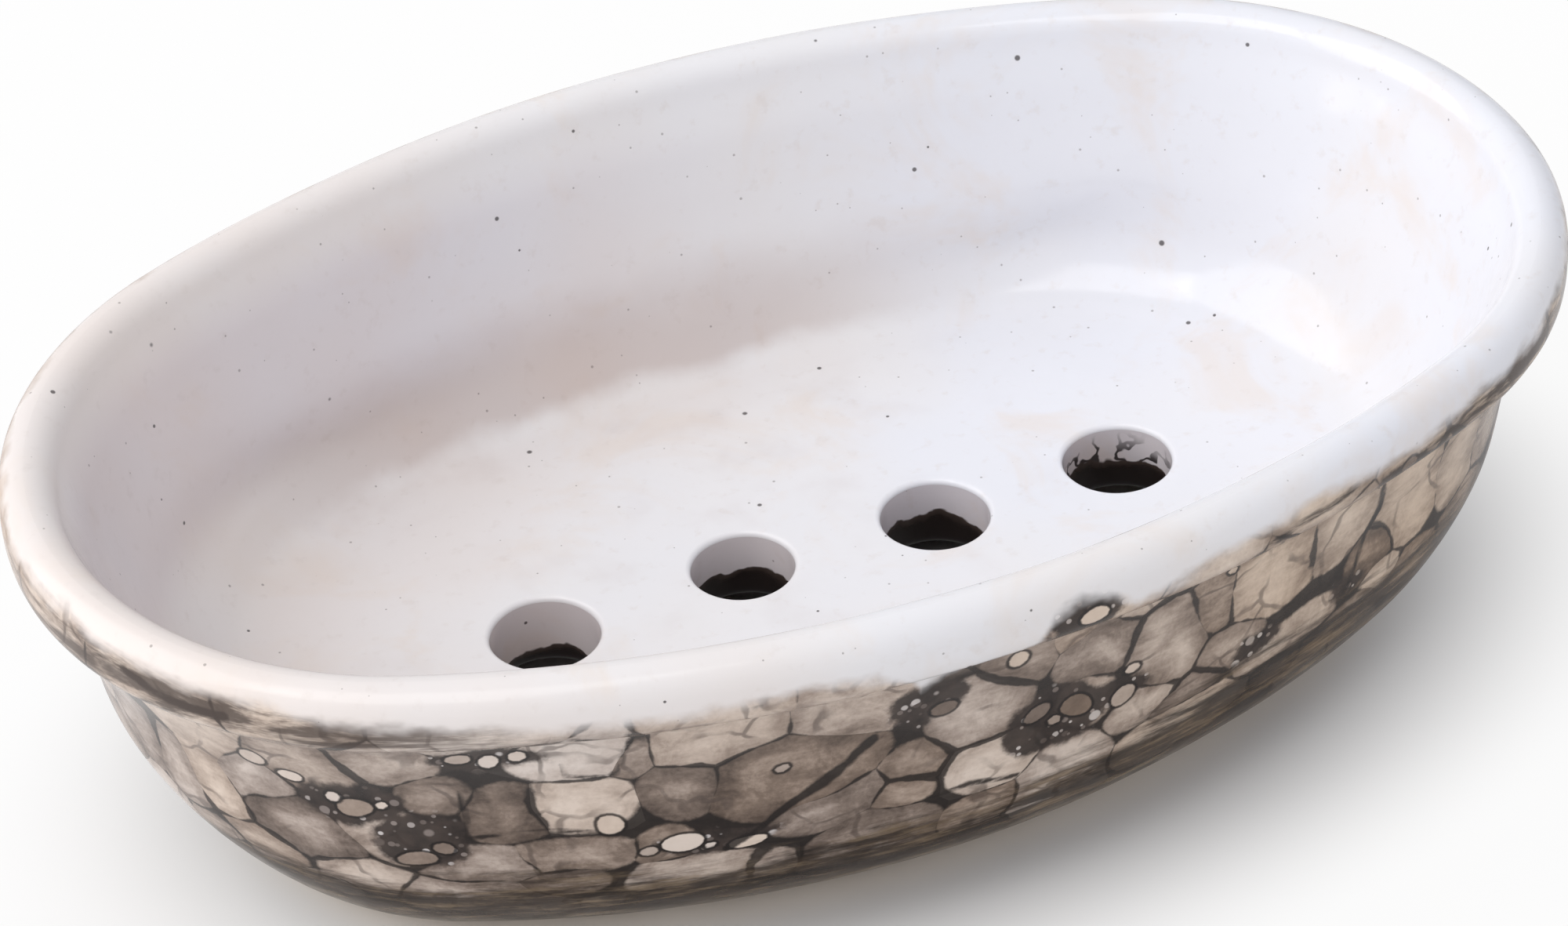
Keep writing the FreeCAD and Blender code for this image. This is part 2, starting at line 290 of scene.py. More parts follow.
def lattice(outline, holes):
    """Flat points inside an outline, clear of it and of round holes."""
    low, high = outline.min(axis=0), outline.max(axis=0)
    rows = np.arange(low[1], high[1], PLATE_ROW)
    x, y = np.meshgrid(np.arange(low[0], high[0], PLATE_STEP), rows)
    x = x + (np.arange(len(rows)) % 2)[:, None] * PLATE_STEP / 2
    points = np.column_stack([x.ravel(), y.ravel()])
    edges = np.roll(outline, -1, axis=0) - outline
    edges = edges / np.linalg.norm(edges, axis=1, keepdims=True)
    gap = points[:, None] - outline[None]
    keep = (edges[:, 0] * gap[..., 1] - edges[:, 1] * gap[..., 0]).min(axis=1) > PLATE_CLEAR
    for centre, radius in holes:
        keep &= np.linalg.norm(points - centre, axis=1) > radius + PLATE_CLEAR
    return points[keep]


def plate_faces(groups):
    """Triangles over flat points: an outline, rings round holes and inner points. Holes stay open."""
    points = np.vstack(groups)
    owner = np.repeat(np.arange(len(groups)), [len(group) for group in groups])
    found = geometry.delaunay_2d_cdt([Vector(point) for point in points], [], [], 0, 1e-6)
    faces = [[found[3][i][0] for i in face] for face in found[2]]
    inner = len(groups) - 1
    return [face for face in faces if owner[face[0]] == inner or len(set(owner[face])) > 1]


class Sheet:
    """Open sheet of rings round a flat part with holes in it, facing up or down."""

    def __init__(self, down=False):
        self.down, self.count = down, 0
        self.points, self.faces, self.edges, self.edge_numbers = [], [], [], []

    def add_faces(self, faces):
        """Faces, turned over where the sheet faces down."""
        self.faces += [[face[0], *face[:0:-1]] for face in faces] if self.down else faces

    def add_rings(self, grid, edge):
        """Rings of points, one of which is an edge of the flat part."""
        numbers = self.count + np.arange(grid[..., 0].size).reshape(grid.shape[:2])
        self.count += numbers.size
        self.points.append(grid.reshape(-1, 3))
        self.add_faces(strip_faces(numbers))
        self.edges.append(grid[edge, :, :2])
        self.edge_numbers.append(numbers[edge])

    def add_flat(self, inner):
        """Flat part between the edges, over inner points."""
        numbers = np.concatenate(self.edge_numbers + [self.count + np.arange(len(inner))])
        self.points.append(inner)
        triangles = plate_faces(self.edges + [inner[:, :2]])
        self.add_faces([[int(numbers[i]) for i in face] for face in triangles])

    def thickened(self, thickness):
        """Closed solid whose back face lies one thickness behind the sheet."""
        points, faces = np.vstack(self.points), self.faces
        sheet = bpy.data.meshes.new("sheet")
        sheet.from_pydata(points.tolist(), [], faces)
        sheet.update()
        away = np.array([vertex.normal for vertex in sheet.vertices])
        bpy.data.meshes.remove(sheet)
        count = len(points)
        edges = {(face[i - 1], face[i]) for face in faces for i in range(len(face))}
        back = [[number + count for number in reversed(face)] for face in faces]
        sides = [[b, a, a + count, b + count] for a, b in edges if (b, a) not in edges]
        return np.vstack([points, points - away * thickness]), faces + back + sides


def make_piece(name, points, faces, material, slot, nodes, attributes=None):
    """Piece of the dish, standing for its CAD nodes."""
    mesh = bpy.data.meshes.new(name)
    mesh.from_pydata((np.asarray(points) * MM).tolist(), [], faces)
    mesh.update()
    mesh.polygons.foreach_set("use_smooth", [True] * len(mesh.polygons))
    mesh.set_sharp_from_angle(angle=SHARP)
    for label, values in (attributes or {}).items():
        kind, field = ("FLOAT_VECTOR", "vector") if values.ndim == 3 else ("FLOAT", "value")
        attribute = mesh.attributes.new(label, kind, "POINT")
        attribute.data.foreach_set(field, values.astype(np.float32).ravel())
    mesh.materials.append(material)
    piece = bpy.data.objects.new(name, mesh)
    bpy.context.scene.collection.objects.link(piece)
    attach(piece, "root")
    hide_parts(*nodes)
    return piece


# ---------- node trees

class Nodes:
    """One material's node tree."""

    def __init__(self, name):
        self.material = bpy.data.materials.new(name)
        self.material.use_nodes = True
        self.tree = self.material.node_tree
        self.tree.nodes.clear()
        self.place = self.vector("SCALE", self.add("TexCoord").outputs["Object"], scale=1 / MM)
        self.length, self.width, self.height = self.split(self.place)

    def add(self, kind, inputs=None, **settings):
        """Node with its settings, and each input linked or set."""
        node = self.tree.nodes.new("ShaderNode" + kind)
        for key, value in settings.items():
            setattr(node, key, value)
        for key, value in (inputs or {}).items():
            if isinstance(value, bpy.types.NodeSocket):
                self.tree.links.new(value, node.inputs[key])
            elif value is not None:
                node.inputs[key].default_value = value
        return node

    def math(self, operation, a, b=None, c=None):
        return self.add("Math", {0: a, 1: b, 2: c}, operation=operation).outputs[0]

    def centred(self, value, spread):
        """Noise from 0 to 1, spread evenly about zero."""
        return self.math("MULTIPLY_ADD", value, spread, -spread / 2)

    def vector(self, operation, a, b=None, scale=None):
        node = self.add("VectorMath", {0: a, 1: b, "Scale": scale}, operation=operation)
        return node.outputs["Value" if operation == "LENGTH" else "Vector"]

    def split(self, vector):
        """The three parts of a vector."""
        return self.add("SeparateXYZ", {0: vector}).outputs

    def fade(self, value, start, end, low=0.0, high=1.0):
        """Smooth step of a value between two places."""
        inputs = {"Value": value, "From Min": start, "From Max": end, "To Min": low, "To Max": high}
        return self.add("MapRange", inputs, interpolation_type="SMOOTHSTEP").outputs["Result"]

    def mix(self, share, a, b, blend="MIX"):
        node = self.add("Mix", {0: share, 6: a, 7: b}, data_type="RGBA", blend_type=blend)
        return node.outputs[2]

    def ramp(self, share, stops):
        """Colour at a share along some stops."""
        node = self.add("ValToRGB", {"Fac": share})
        elements = node.color_ramp.elements
        while len(elements) < len(stops):
            elements.new(0.5)
        for element, (position, colour) in zip(elements, stops):
            element.position = position
            element.color = colour
        return node.outputs["Color"]

    def noise(self, size, detail=2.0, rough=0.5, stretch=None, warp=0.0):
        """Noise whose features are about a given size across."""
        place = self.vector("MULTIPLY", self.place, stretch) if stretch else self.place
        inputs = {"Vector": place, "Scale": 1 / size, "Detail": detail}
        inputs |= {"Roughness": rough, "Distortion": warp}
        return self.add("TexNoise", inputs).outputs["Fac"]

    def attribute(self, name, output="Vector"):
        """Field kept at the mesh's points."""
        return self.add("Attribute", attribute_name=name).outputs[output]

    def finish(self, colour, rough, height=None, depth=0.0, gloss=0.5):
        """Ceramic shader: colour, roughness, a bump of a given depth, and how strongly it reflects."""
        inputs = {"Base Color": colour, "Roughness": rough, "Specular IOR Level": gloss}
        if height is not None:
            bump = self.add("Bump", {"Height": height, "Distance": depth * MM, "Strength": 1.0})
            inputs["Normal"] = bump.outputs["Normal"]
        shader = self.add("BsdfPrincipled", inputs)
        self.add("OutputMaterial", {"Surface": shader.outputs[0]})
        return self.material


def rgb(red, green, blue):
    """Colour from 0 to 255 display values."""
    shares = [value / 255 for value in (red, green, blue)]
    return tuple(s / 12.92 if s <= 0.04045 else ((s + 0.055) / 1.055) ** 2.4 for s in shares) + (1.0,)


INK = rgb(27, 20, 18)


def scattered(n, cell, radius, least, randomness):
    """Round spots, each in its own cell: distance as a share of the spot's radius, and random shares."""
    inputs = {"Vector": n.place, "Scale": 1 / cell, "Randomness": randomness}
    cells = n.add("TexVoronoi", inputs, feature="F1").outputs
    shares = n.add("SeparateColor", {"Color": cells["Color"]}).outputs
    size = n.math("MULTIPLY_ADD", shares[0], (1 - least) * radius / cell, least * radius / cell)
    return n.math("DIVIDE", cells["Distance"], size), shares


def specks(n, cell, radius, rarity):
    """Round iron specks."""
    ratio, shares = scattered(n, cell, radius, 0.3, 1.0)
    return n.math("MULTIPLY", n.fade(ratio, 1.0, 0.55), n.math("GREATER_THAN", shares[1], rarity))


def white_surface(n):
    """Colour of the white glaze: cooler to one end and warmer to the other, with iron specks."""
    drift = n.math("MULTIPLY_ADD", n.noise(34.0, 2.0, 0.55), 0.9, n.fade(n.length, 45.0, -55.0, -0.2, 0.3))
    stops = [(0.25, rgb(232, 233, 239)), (0.5, rgb(233, 231, 232)), (0.8, rgb(231, 222, 217))]
    colour = n.ramp(drift, stops)
    warm = n.noise(13.0, 4.0, 0.6, warp=0.6)
    colour = n.mix(n.fade(warm, 0.5, 0.72, 0.0, 0.42), colour, rgb(229, 215, 203))
    mottle = n.noise(1.6, 3.0, 0.6)
    colour = n.mix(n.fade(mottle, 0.56, 0.78, 0.0, 0.28), colour, rgb(214, 204, 198))
    small = n.math("MULTIPLY", specks(n, 1.5, 0.17, 0.4), 0.5)
    colour = n.mix(small, colour, rgb(96, 84, 80))
    large = n.math("MULTIPLY", specks(n, 3.2, 0.34, 0.7), 0.85)
    return n.mix(large, colour, rgb(58, 50, 50))


def white_waves(n):
    """Slow waves of a thick glossy glaze."""
    return n.math("ADD", n.noise(9.0, 1.0), n.math("MULTIPLY", n.noise(2.2, 2.0), 0.16))


def white_material():
    """White glaze inside, with painted shade over the crease at the back, partly warm pooled glaze there,
    and painted shade on the left wall.
    """
    n = Nodes("white_glaze")
    rough = n.fade(n.noise(6.0, 3.0), 0.3, 0.7, 0.1, 0.19)
    # Painted shade over the crease at the back, partly warm pooled glaze: a band above the floor, away from
    # the ends and the front.
    drifted = n.math("MULTIPLY_ADD", n.noise(7.0, 3.0), 3.0, n.height)
    rising = n.fade(drifted, FLOOR + 1.3, FLOOR + 3.2)
    crease_shade_and_pooling = n.math("MULTIPLY", rising, n.fade(drifted, FLOOR + 13.0, FLOOR + 4.5))
    middle = n.math("MULTIPLY", n.fade(n.length, 34.0, 4.0), n.fade(n.length, -50.0, -24.0))
    crease_shade_and_pooling = n.math("MULTIPLY", n.math("MULTIPLY", crease_shade_and_pooling, middle), n.fade(n.width, -24.0, 6.0))
    colour = n.mix(crease_shade_and_pooling, white_surface(n), rgb(231, 223, 220), blend="MULTIPLY")
    # Painted shade: the left wall a little darker, between the floor and the rim.
    shade = n.fade(n.height, FLOOR + 3.0, FLOOR + 9.0)
    shade = n.math("MULTIPLY", shade, n.fade(n.height, HEIGHT - 2.0, HEIGHT - 7.0))
    shade = n.math("MULTIPLY", shade, n.fade(n.length, 18.0, -30.0))
    colour = n.mix(shade, colour, rgb(243, 241, 245), blend="MULTIPLY")
    return n.finish(colour, rough, white_waves(n), 0.16)


# ---------- outside pattern

# Bubble prints on the front: run round the dish, rise up the wall, half length and half height in
# millimetres, tilt in degrees, darkness of the wash from 0 to 1.
PRINTS = (
    (-0.268, 0.70, 5.2, 4.6, 0, 0.34), (-0.245, 0.83, 4.0, 3.6, 0, 0.24),
    (-0.243, 0.58, 4.4, 3.4, 0, 0.44), (-0.222, 0.74, 3.5, 4.4, 8, 0.32),
    (-0.206, 0.66, 2.6, 4.6, 12, 0.26), (-0.192, 0.71, 2.7, 4.4, 15, 0.16),
    (-0.178, 0.76, 3.2, 3.7, 18, 0.22), (-0.166, 0.62, 5.3, 2.8, -30, 0.46),
    (-0.182, 0.50, 3.4, 1.9, -25, 0.30), (-0.158, 0.885, 4.5, 3.4, 0, 0.34),
    (-0.135, 0.935, 4.2, 2.5, -20, 0.27), (-0.124, 0.79, 2.5, 1.7, 0, 0.45),
    (-0.1095, 0.72, 3.1, 3.1, 0, 0.50), (-0.1165, 0.515, 4.4, 2.6, 0, 0.38),
    (-0.0925, 0.925, 5.3, 3.3, 0, 0.02), (-0.0945, 0.735, 4.5, 2.7, 0, 0.07),
    (-0.0955, 0.545, 4.8, 2.0, 0, 0.40), (-0.081, 0.905, 1.8, 2.7, -8, 0.33),
    (-0.061, 0.95, 6.4, 4.9, 0, 0.20), (-0.0375, 0.945, 5.8, 5.0, 0, 0.26),
    (-0.0475, 0.745, 7.1, 5.0, 4, 0.50), (-0.040, 0.60, 5.0, 2.4, 24, 0.42),
    (-0.0715, 0.745, 3.1, 3.0, 0, 0.50), (-0.070, 0.39, 5.2, 3.4, 0, 0.20),
    (-0.054, 0.37, 2.4, 2.0, 0, 0.16), (-0.100, 0.41, 3.0, 1.7, 0, 0.45),
    (-0.091, 0.25, 2.0, 1.6, 0, 0.26), (-0.0205, 0.68, 2.8, 1.7, 5, 0.40),
    (-0.024, 0.58, 2.0, 1.7, 0, 0.36), (-0.007, 0.80, 4.1, 3.7, 0, 0.33),
    (-0.002, 0.59, 3.6, 3.1, 10, 0.05), (0.004, 0.945, 3.2, 2.8, 0, 0.40),
    (0.0215, 0.875, 3.5, 3.2, 0, 0.36), (0.014, 0.955, 2.4, 1.8, 0, 0.28),
    (0.031, 0.985, 2.2, 1.0, 12, 0.08), (0.041, 0.79, 3.2, 4.4, 16, 0.32),
    (0.0525, 0.86, 2.6, 3.6, 12, 0.33), (0.045, 1.05, 3.8, 1.8, 10, 0.16),
    (0.069, 0.875, 6.3, 4.5, 8, 0.17), (0.0345, 0.60, 2.8, 1.3, 15, 0.20),
    (0.047, 0.57, 3.0, 1.4, 10, 0.45), (0.058, 0.67, 2.6, 1.7, 15, 0.34),
    (0.075, 0.57, 4.8, 1.5, 12, 0.24), (0.085, 0.90, 4.6, 4.2, 8, 0.19),
    (0.101, 0.70, 2.4, 2.0, 30, 0.50), (0.113, 0.83, 3.8, 5.5, 10, 0.18),
    (0.133, 0.85, 3.6, 5.5, 8, 0.22), (0.152, 0.84, 4.2, 4.8, 0, 0.28),
    (0.095, 0.48, 3.4, 1.5, 10, 0.36), (0.120, 0.53, 3.2, 2.2, 0, 0.40),
    (0.145, 0.56, 4.0, 2.6, 0, 0.34),
)
# Small prints that lie over them, given in the same way.
SMALL_PRINTS = (
    (-0.163, 0.815, 1.1, 0.8, 0, 0.04), (-0.172, 0.865, 1.2, 1.1, 0, 0.20),
    (-0.146, 0.735, 1.3, 1.0, 0, 0.44), (-0.151, 0.765, 0.7, 0.6, 0, 0.10),
    (-0.1535, 0.735, 0.5, 0.5, 0, 0.25), (-0.140, 0.75, 0.6, 0.5, 0, 0.08),
    (-0.137, 0.65, 1.4, 1.6, 0, 0.52), (-0.124, 0.60, 1.0, 0.8, 0, 0.58),
    (-0.131, 0.56, 1.6, 0.9, 0, 0.50), (-0.110, 0.92, 0.95, 0.9, 0, 0.02),
    (-0.104, 0.935, 0.85, 0.75, 0, 0.07), (-0.1165, 0.925, 1.1, 0.7, 0, 0.30),
    (-0.113, 0.905, 0.5, 0.45, 0, 0.10), (-0.107, 0.90, 0.4, 0.4, 0, 0.12),
    (-0.0725, 0.548, 1.9, 1.25, 5, 0.0), (-0.0585, 0.51, 1.4, 0.85, 5, 0.0),
    (-0.066, 0.525, 0.6, 0.45, 0, 0.02), (-0.0805, 0.53, 0.85, 0.7, 0, 0.34),
    (-0.067, 0.625, 0.8, 0.7, 0, 0.14), (-0.0885, 0.645, 1.1, 1.0, 0, 0.13),
    (-0.0505, 0.765, 0.8, 0.5, 20, 0.36), (-0.082, 0.20, 1.2, 0.9, 0, 0.48),
    (0.002, 0.945, 0.85, 0.85, 0, 0.10), (-0.0145, 0.845, 1.2, 0.8, 10, 0.66),
    (0.0075, 0.72, 1.3, 1.0, 20, 0.62), (0.0115, 0.665, 0.6, 0.6, 0, 0.42),
    (0.0175, 0.70, 1.4, 1.2, 0, 0.60), (0.0165, 0.60, 1.6, 0.9, 20, 0.60),
    (0.009, 0.62, 1.3, 0.8, -20, 0.70), (0.0175, 1.075, 1.3, 0.75, 10, 0.08),
    (0.029, 0.66, 1.3, 1.1, 20, 0.32), (0.0315, 0.745, 0.75, 0.6, 0, 0.16),
    (0.0545, 0.955, 0.6, 0.5, 0, 0.16), (0.1005, 1.05, 0.9, 0.8, 0, 0.58),
    (0.0415, 0.975, 0.6, 0.4, 0, 0.20),
)
# Patches of dark foam: run, rise, half length, half height.
FOAM = (
    (-0.147, 0.745, 4.4, 2.3), (-0.129, 0.62, 4.0, 3.4), (-0.111, 0.925, 4.6, 1.5),
    (-0.0655, 0.545, 5.4, 1.5), (-0.0205, 0.86, 1.9, 2.2), (-0.0145, 0.90, 2.2, 1.7),
    (0.012, 0.675, 4.6, 3.5), (0.0145, 1.10, 3.3, 2.4), (0.027, 0.69, 3.4, 1.4),
    (0.099, 1.045, 3.0, 1.3), (0.0655, 0.62, 2.4, 1.5), (0.094, 0.64, 1.9, 1.5),
)
# Dark strokes: half width, then the run and rise of each point.
STROKES = (
    (0.55, (-0.0615, 0.50), (-0.052, 0.60), (-0.040, 0.71), (-0.0305, 0.785)),
    (0.32, (-0.0965, 0.89), (-0.0955, 0.845), (-0.0905, 0.825), (-0.0865, 0.815)),
    (0.36, (-0.080, 0.985), (-0.0825, 0.90), (-0.085, 0.82)),
    (0.50, (0.040, 0.985), (0.051, 1.01), (0.060, 1.05), (0.072, 1.085), (0.084, 1.095)),
    (0.40, (-0.018, 0.53), (-0.008, 0.545), (0.004, 0.51)),
    (0.40, (0.0975, 0.97), (0.100, 0.85), (0.098, 0.73), (0.094, 0.63)),
    (0.34, (-0.119, 0.80), (-0.1185, 0.70), (-0.118, 0.62)),
    (0.30, (-0.118, 0.635), (-0.105, 0.655), (-0.092, 0.64)),
    (0.36, (-0.101, 1.03), (-0.094, 1.055), (-0.085, 1.03), (-0.079, 1.01)),
    (0.30, (-0.079, 1.02), (-0.065, 1.04), (-0.055, 1.075)),
    (0.90, (0.105, 1.05), (0.118, 1.085), (0.135, 1.10), (0.155, 1.10)),
    (0.80, (-0.215, 1.06), (-0.200, 1.04), (-0.185, 1.03)),
    (0.50, (-0.200, 1.12), (-0.185, 1.10), (-0.170, 1.09)),
)
# Where the white lip's glaze ends on the outside: run, rise.
WHITE_EDGE = (
    (-0.50, 1.20), (-0.35, 1.20), (-0.25, 1.17), (-0.20, 1.17), (-0.16, 1.15), (-0.135, 1.12),
    (-0.10, 1.10), (-0.075, 1.085), (-0.045, 1.09), (-0.030, 1.09), (-0.024, 1.04), (-0.0195, 0.94),
    (-0.014, 0.985), (-0.004, 1.0), (0.004, 1.05), (0.0075, 1.11), (0.014, 1.135), (0.021, 1.12),
    (0.027, 1.06), (0.040, 1.09), (0.055, 1.115), (0.075, 1.13), (0.10, 1.10), (0.12, 1.12),
    (0.15, 1.14), (0.20, 1.17), (0.30, 1.20), (0.50, 1.20),
)
# Reach of a print's field, how far prints swell to meet each other, and how unevenly they are drawn.
FAR = 4.0
SWELL = 0.7
UNEVEN = 0.6
UNEVEN_LENGTH = 4.5
# Narrowest column, and how far a print reaches through the wall.
COLUMN = 0.28
PRINT_DEPTH = 8.0
# Channels that prints are shared out to, and how close two prints come before they need one each.
CHANNELS = 9
DOT_CHANNELS = 3
CLOSE = 1.8
# Seeded prints: tries, largest and smallest size, how bare their place is as a share of the size, and
# limits of rise, stretch and tilt.
FILL_TRIES = 2600
FILL_SIZES = (6.0, 1.3)
FILL_BARE = 0.5
FILL_RISES = (0.08, 1.15)
FILL_STRETCHES = (0.75, 1.4)
FILL_TILTS = (-30, 30)
# Their tone: the least, its range on the wall, its range on the lip, and where the lip starts.
FILL_TONE = 0.06
WALL_TONES = 0.5
LIP_TONES = 0.22
LIP_RISE = 0.97
# Seeded foam at the back: number of patches, and limits of run, rise, half length and half height.
BACK_FOAM = 9
BACK_FOAM_LIMITS = ((0.25, 0.75), (0.45, 0.95), (2.0, 5.0), (1.5, 3.0))


class Pattern:
    """Fields of the bubble pattern at the points of the outer coat."""

    def __init__(self, grid, rises):
        self.grid, self.rises, self.columns = grid, rises, grid.shape[1]
        self.away = normals(grid)
        push = [noise.noise_vector(Vector(p) / UNEVEN_LENGTH) for p in grid.reshape(-1, 3)]
        self.drawn = grid + UNEVEN * np.array(push).reshape(grid.shape)
        self.cover = np.full(grid.shape[:2], FAR)
        self.cells = []
        self.dots = []

    def spot(self, run, rise):
        """Column and point on the wall, and the directions along and up there."""
        column = round((run % 1.0) * self.columns) % self.columns
        row = int(np.argmin(abs(self.rises - rise)))
        along = self.grid[row, (column + 1) % self.columns] - self.grid[row, column - 1]
        along = along / np.linalg.norm(along)
        return column, self.grid[row, column], along, np.cross(self.away[row, column], along)

    def window(self, column, reach):
        """Columns within a reach of one."""
        count = min(int(reach / COLUMN), self.columns // 2 - 1)
        return (column + np.arange(-count, count + 1)) % self.columns

    def ellipse(self, run, rise, half_length, half_height, tilt=0.0):
        """Columns round an ellipse drawn on the wall, and the signed distance to it, negative inside."""
        column, centre, along, up = self.spot(run, rise)
        near = self.window(column, max(half_length, half_height) + FAR)
        offset = self.drawn[:, near] - centre
        c, s = math.cos(math.radians(tilt)), math.sin(math.radians(tilt))
        x, y = offset @ (c * along + s * up), offset @ (c * up - s * along)
        ratio = np.sqrt((x / half_length) ** 2 + (y / half_height) ** 2) + 1e-6
        slope = np.sqrt((x / half_length ** 2) ** 2 + (y / half_height ** 2) ** 2) + 1e-6
        field = np.minimum((ratio - 1) * ratio / slope, FAR)
        return near, np.where(abs(offset @ np.cross(along, up)) > PRINT_DEPTH, FAR, field)

    def add_cell(self, run, rise, half_length, half_height, tilt, tone):
        """One large print, meeting its neighbours in a dark film."""
        near, field = self.ellipse(run, rise, half_length, half_height, tilt)
        self.cells.append((near, field - SWELL, tone, random.random()))
        self.cover[:, near] = np.minimum(self.cover[:, near], field - SWELL)

    def add_dot(self, run, rise, half_length, half_height, tilt, tone):
        """One small print, lying over the large ones."""
        self.dots.append((*self.ellipse(run, rise, half_length, half_height, tilt), tone, random.random()))

    def fill(self):
        """Seeded prints wherever the wall is still bare."""
        rows = np.flatnonzero((self.rises > FILL_RISES[0]) & (self.rises < FILL_RISES[1]))
        for size in np.linspace(*FILL_SIZES, FILL_TRIES):
            row, column = random.choice(rows), random.integers(self.columns)
            stretch, tilt = random.uniform(*FILL_STRETCHES), random.uniform(*FILL_TILTS)
            share = random.random()
            if self.cover[row, column] > FILL_BARE * size:
                run, rise = column / self.columns, self.rises[row]
                tone = FILL_TONE + (WALL_TONES if rise < LIP_RISE else LIP_TONES) * share
                self.add_cell(run, rise, size * stretch, size / stretch, tilt, tone)

    def nearest(self, found):
        """Least of some distances, each over its own columns."""
        least = np.full(self.cover.shape, FAR)
        for near, field in found:
            least[:, near] = np.minimum(least[:, near], field)
        return least

    def foam(self, patches):
        """Distance to the patches of dark foam."""
        return self.nearest(self.ellipse(*patch) for patch in patches)

    def strokes(self):
        """Distance to the edges of the dark strokes."""
        found = []
        for half_width, *places in STROKES:
            ends = [self.spot(*place)[:2] for place in places]
            for (column, a), (_, b) in zip(ends, ends[1:]):
                near = self.window(column, np.linalg.norm(b - a) + FAR)
                drawn = self.drawn[:, near]
                t = np.clip((drawn - a) @ (b - a) / ((b - a) @ (b - a)), 0, 1)
                gap = np.linalg.norm(drawn - a - t[..., None] * (b - a), axis=-1)
                found.append((near, gap - half_width))
        return self.nearest(found)

    def channels(self, prints, count):
        """Distance, tone and warmth of prints, shared out so that neighbours are in different channels."""
        nearest = self.nearest((near, field) for near, field, *_ in prints)
        shared = np.full((count, *nearest.shape, 3), [FAR, 0.0, 0.0])
        taken = np.zeros((count, *nearest.shape), dtype=bool)
        for near, field, tone, warmth in prints:
            close = (field - nearest[:, near] < CLOSE) & (field < FAR / 2)
            free = [k for k in range(count) if not (taken[k][:, near] & close).any()]
            if free:
                taken[free[0]][:, near] |= close
                values = shared[free[0]][:, near]
                values[field < values[..., 0], 1:] = tone, warmth
                values[..., 0] = np.minimum(values[..., 0], field)
                shared[free[0]][:, near] = values
        return shared


def bubbles(n, cell, radius, rarity):
    """Tiny bubbles in foam: how much one shows, and its shade."""
    ratio, shares = scattered(n, cell, radius, 0.4, 0.9)
    shows = n.math("MULTIPLY", n.fade(ratio, 1.0, 0.7), n.math("GREATER_THAN", shares[1], rarity))
    stops = [(0.1, rgb(214, 208, 206)), (0.45, rgb(150, 139, 134)), (0.85, rgb(86, 75, 70))]
    return shows, n.ramp(shares[2], stops)


WASH = (
    (0.0, rgb(224, 213, 205)), (0.2, rgb(203, 190, 181)), (0.38, rgb(171, 157, 148)),
    (0.55, rgb(133, 119, 110)), (0.75, rgb(92, 80, 73)), (1.0, rgb(50, 41, 37)),
)


def washed(n, share, warmth):
    """Colour of a print: its wash, warmer on some prints than on others."""
    tint = n.math("MULTIPLY", warmth, 0.55)
    return n.mix(tint, n.ramp(share, WASH), rgb(255, 243, 226), blend="MULTIPLY")


